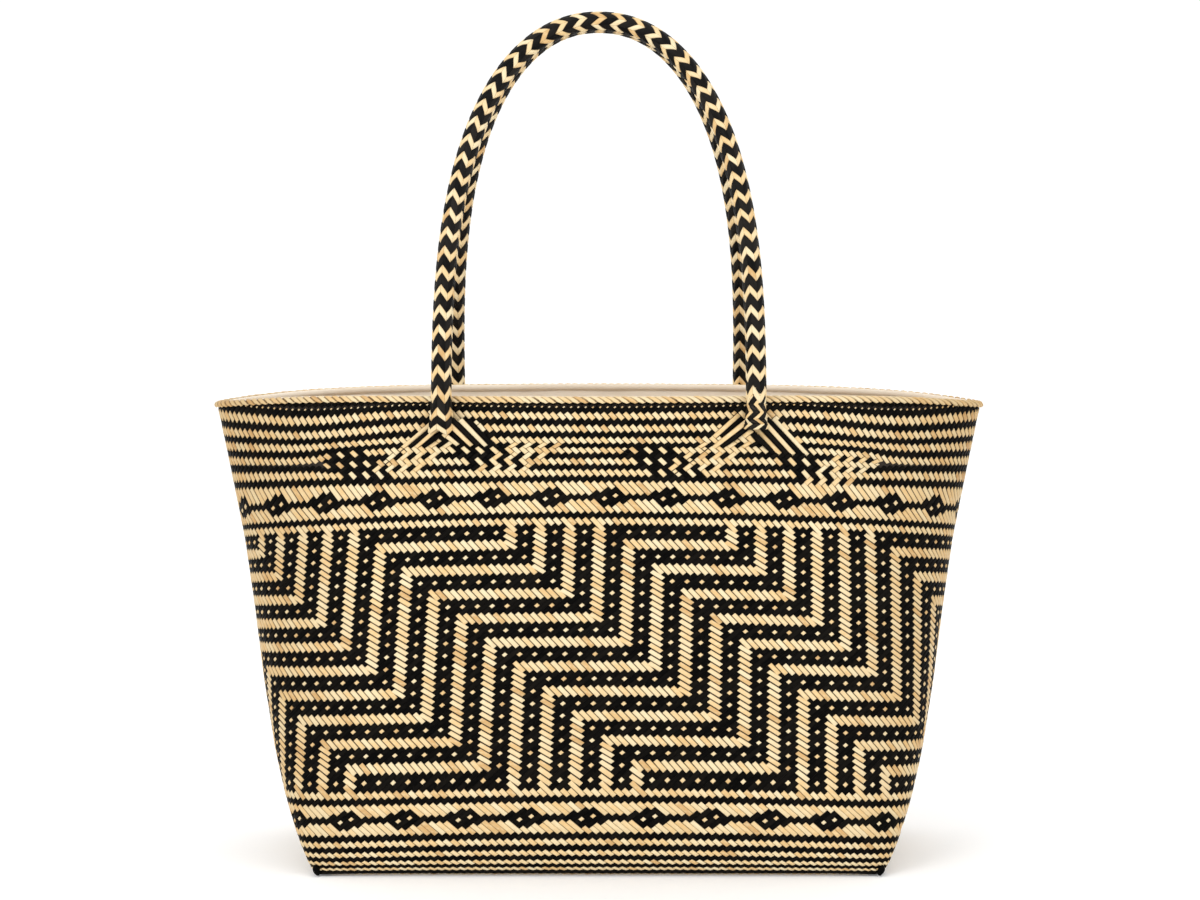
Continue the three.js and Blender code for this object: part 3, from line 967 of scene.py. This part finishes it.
def handle_point(angle, along, radius):
    """A point round the front handle. Angle 0 faces the front, and grows outwards at a foot."""
    end = np.minimum(along, HANDLE_LENGTH - along)
    closing = END_CLOSING * np.clip(1 - end / BRAID_PERIOD, 0, 1.5)
    along = np.where(along < HANDLE_LENGTH / 2, along + closing, along - closing)
    end = np.maximum(0, np.minimum(along, HANDLE_LENGTH - along))
    widening = END_WIDENING * np.clip(1 - end / END_WIDENING_LENGTH, 0, 1) ** 1.5
    lean = END_LEAN * np.clip(1 - end / END_LEAN_LENGTH, 0, 1) ** 2
    place = np.clip(along / HANDLE_LENGTH, 0, 1) * (len(HANDLE_LINE) - 1)
    steps = np.arange(len(HANDLE_LINE))
    middle = np.stack([np.interp(place, steps, HANDLE_LINE[:, k]) for k in range(3)], axis=-1)
    ahead = np.stack([np.interp(place + 8, steps, HANDLE_LINE[:, k]) for k in range(3)], axis=-1)
    behind = np.stack([np.interp(place - 8, steps, HANDLE_LINE[:, k]) for k in range(3)], axis=-1)
    tangent = ahead - behind
    tangent /= np.linalg.norm(tangent, axis=-1, keepdims=True)
    side = np.cross(tangent, np.array([0.0, 1.0, 0.0]))
    side /= np.linalg.norm(side, axis=-1, keepdims=True)
    front = np.cross(tangent, side)
    sideways = np.sin(angle) * (1 + widening)
    forwards = np.cos(angle) * (1 - widening * 0.4)
    reach = side * sideways[..., None] + front * forwards[..., None]
    middle[..., 1] += lean
    return middle + reach * radius[..., None]


def braid_mesh(name, turned):
    """The braid of one handle: natural and dyed straws in slanting columns round the bar."""
    periods = int(round(HANDLE_LENGTH / BRAID_PERIOD))
    period = HANDLE_LENGTH / periods
    across = np.linspace(-0.5, 0.5, 5)
    side_rise = np.array([-0.12, 0.1, 0.16, 0.1, -0.12])
    meshes = []
    for colour, thick, start in (
        ("natural", BRAID_NATURAL, 0.0),
        ("black", period - BRAID_NATURAL, 0.5),
    ):
        up = np.array([-0.49, -0.3, 0.3, 0.49]) * thick
        up_rise = np.array([-0.35, 0.15, 0.15, -0.35])
        column = np.arange(BRAID_COLUMNS)
        step = np.arange(-1, periods + 1)
        columns, steps = [a.ravel() for a in np.meshgrid(column, step)]
        slope = np.where(columns % 2 == 0, 1.0, -1.0) * BRAID_SLOPE
        angle = BRAID_TURN + (columns[:, None, None] + 0.5 + across[None, None, :] * 0.98) * (
            2 * math.pi / BRAID_COLUMNS
        )
        along = (
            (steps + start)[:, None, None] * period
            + slope[:, None, None] * across[None, None, :]
            + up[None, :, None]
        )
        angle = np.broadcast_to(angle, along.shape)
        radius = handle_radius + side_rise[None, None, :] + up_rise[None, :, None]
        radius = np.broadcast_to(radius, along.shape)
        points = handle_point(angle, along, radius)
        last = HANDLE_LENGTH + 5.2 if turned else HANDLE_LENGTH - CHEVRONS_END
        kept = (along.min(axis=(1, 2)) > -5.2) & (along.max(axis=(1, 2)) < last)
        points = points[kept]
        total = len(points)
        if turned:
            points = points * np.array([-1, -1, 1])
        grid = np.arange(20).reshape(4, 5)
        quads = np.stack([grid[:-1, :-1], grid[1:, :-1], grid[1:, 1:], grid[:-1, 1:]], axis=-1)
        quads = quads.reshape(-1, 4)
        faces = (np.arange(total)[:, None, None] * 20 + quads[None]).reshape(-1, 4)
        tones = np.repeat(random.rand(total), 20)
        lengths = np.broadcast_to(across[None, None, :] * 2, points.shape[:3]).reshape(-1)
        sides = np.broadcast_to(up[None, :, None] / thick, points.shape[:3]).reshape(-1)
        made = joined_mesh(
            f"{name}_{colour}", points.reshape(-1, 3) * MM, faces, lengths + tones * 37, sides, tones
        )
        made.data.materials.append(natural_straw if colour == "natural" else braid_dyed_straw)
        meshes.append(made)
    return meshes


def zigzag_mesh(name, colour):
    """The straws that run down in zigzags at the front handle's right end, side by side."""
    strand = np.arange(-5, 5)
    strand = strand[strand % 2 == (0 if colour == "natural" else 1)]
    strands, steps = [a.ravel() for a in np.meshgrid(strand, np.arange(ZIGZAG_STEPS))]
    down = np.array([0.0, 0.12, 0.88, 1.0])[None, :, None]
    half = ZIGZAG_HALF[colour]
    across = np.array([-half, -half * 0.7, half * 0.7, half])[None, None, :]
    swing = np.where(steps % 2 == 0, 1.0, -1.0)[:, None, None] * (2 * down - 1) * ZIGZAG_SWING
    arc = ZIGZAG_SHIFT + (strands[:, None, None] + across) * ZIGZAG_PITCH + swing
    along = HANDLE_LENGTH - (ZIGZAG_STEPS - steps[:, None, None] - down) * ZIGZAG_STEP
    along = np.broadcast_to(along, arc.shape)
    rise = np.array([0, 1, 1, 0.0])
    dome = -0.45 + 0.4 * rise[None, :, None] * rise[None, None, :]
    radius = np.broadcast_to(handle_radius + dome, arc.shape)
    points = handle_point(arc / handle_radius, along, radius)
    total = len(strands)
    grid = np.arange(16).reshape(4, 4)
    quads = np.stack([grid[:-1, :-1], grid[1:, :-1], grid[1:, 1:], grid[:-1, 1:]], axis=-1)
    faces = (np.arange(total)[:, None, None] * 16 + quads.reshape(-1, 4)[None]).reshape(-1, 4)
    tones = np.repeat(random.rand(total), 16)
    lengths = np.broadcast_to(down * 2, arc.shape).reshape(-1)
    sides = np.broadcast_to(across, arc.shape).reshape(-1)
    made = joined_mesh(
        name, points.reshape(-1, 3) * MM, faces, lengths + tones * 37, sides, tones
    )
    made.data.materials.append(natural_straw if colour == "natural" else braid_dyed_straw)
    return made


def handle_core(name, turned):
    """The core inside a braid, dark as painted shadow between its straws."""
    along = np.linspace(1, HANDLE_LENGTH - 1, 141)
    turn = np.linspace(0, 2 * math.pi, 17)[:-1]
    rings = []
    for step in along:
        ring = handle_point(turn, np.full(turn.shape, step), np.full(turn.shape, handle_radius - 0.5))
        rings.append(ring * np.array([-1, -1, 1]) if turned else ring)
    return ring_mesh(name, [r[::-1] for r in rings], plait_shadow, caps=True)


FOOT_LIFT = 1.2
FOOT_ROOT_LIFT = 5.5


def foot_surface(middle_column):
    """The foot's swelling over the wall: highest where the handle's straws leave the bar."""

    def surface(columns, rows, proud):
        column = columns - middle_column
        edge = np.minimum(column + rows - 2, rows - column) / 5
        base = (FOOT_LAST_ROW + 1.5 - rows) / 6
        fan = np.clip(np.minimum(edge, base), 0, 1)
        root = np.exp(-((column / 3.6) ** 2) - (np.maximum(0, rows - 9.5) / 2.4) ** 2)
        lift = FOOT_LIFT * fan * (2 - fan) + FOOT_ROOT_LIFT * root
        return lattice_point(columns, rows, proud + lift)

    return surface


for face, turn in (("front", 0), ("back", 240)):
    for hand, foot in FEET.items():
        place = f"{face}_{hand}"
        groups = [
            (natural_straw, floats[(place, "natural")]),
            (dyed_straw, floats[(place, "black")]),
        ]
        middle = (foot["column"] + turn) % COLUMNS_ROUND
        shift = -COLUMNS_ROUND if middle > 360 else 0
        groups = [
            (look, [(c + (shift if c > 240 and shift else 0), *rest) for c, *rest in straws])
            for look, straws in groups
        ]
        piece = float_mesh(
            f"foot_{place}_straws", groups, foot_surface(middle + shift), 0.36, -0.3
        )
        side = hand if face == "front" else {"left": "right", "right": "left"}[hand]
        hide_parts(f"handle_foot_{face}_{side}")
        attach(piece, "root")

for face, turned in (("front", False), ("back", True)):
    natural, black = braid_mesh(f"braid_{face}", turned)
    core = handle_core(f"braid_{face}_core", turned)
    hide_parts(f"handle_{face}")
    for piece in (natural, black, core):
        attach(piece, "root")

zigzags = [zigzag_mesh(f"zigzag_{colour}", colour) for colour in ("natural", "black")]
for piece in zigzags:
    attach(piece, "root")

# Camera, floor and light

camera_data = bpy.data.cameras.new("camera")
camera = bpy.data.objects.new("camera", camera_data)
bpy.context.scene.collection.objects.link(camera)
camera.location = (0.0007, -1.6, 0.353)
camera_data.sensor_width = 36
camera_data.lens = 81.4
camera.rotation_euler = (math.radians(90 - 4.1), 0, 0)
camera_data.clip_start = 0.05
bpy.context.scene.camera = camera
bpy.context.scene.view_settings.view_transform = "Standard"

floor_mesh = bpy.data.meshes.new("floor")
floor_mesh.from_pydata(
    [(-6, -6, -0.0004), (6, -6, -0.0004), (6, 6, -0.0004), (-6, 6, -0.0004)], [], [(0, 1, 2, 3)]
)
floor = bpy.data.objects.new("floor", floor_mesh)
bpy.context.scene.collection.objects.link(floor)
floor_material, floor_tree, floor_shader = base_material("studio_white", 0.9)
floor_shader.inputs["Base Color"].default_value = (0.97, 0.97, 0.97, 1)
floor_shader.inputs["Emission Color"].default_value = (1, 1, 1, 1)
floor_shader.inputs["Emission Strength"].default_value = 0.09
floor_mesh.materials.append(floor_material)

world = bpy.data.worlds.new("studio")
bpy.context.scene.world = world
world.use_nodes = True
world.node_tree.nodes["Background"].inputs["Color"].default_value = (1, 1, 1, 1)
world.node_tree.nodes["Background"].inputs["Strength"].default_value = 1.08


def soft_light(name, place, aim, size, power):
    data = bpy.data.lights.new(name, "AREA")
    data.shape = "RECTANGLE"
    data.size = size
    data.size_y = size
    data.energy = power
    made = bpy.data.objects.new(name, data)
    bpy.context.scene.collection.objects.link(made)
    made.location = place
    made.rotation_euler = (Vector(aim) - Vector(place)).to_track_quat("-Z", "Y").to_euler()


soft_light("key_light", (-1.2, -1.8, 1.9), (0, 0, 0.15), 1.2, 14)
soft_light("fill_light", (1.6, -1.4, 1.2), (0, 0, 0.15), 1.4, 4)
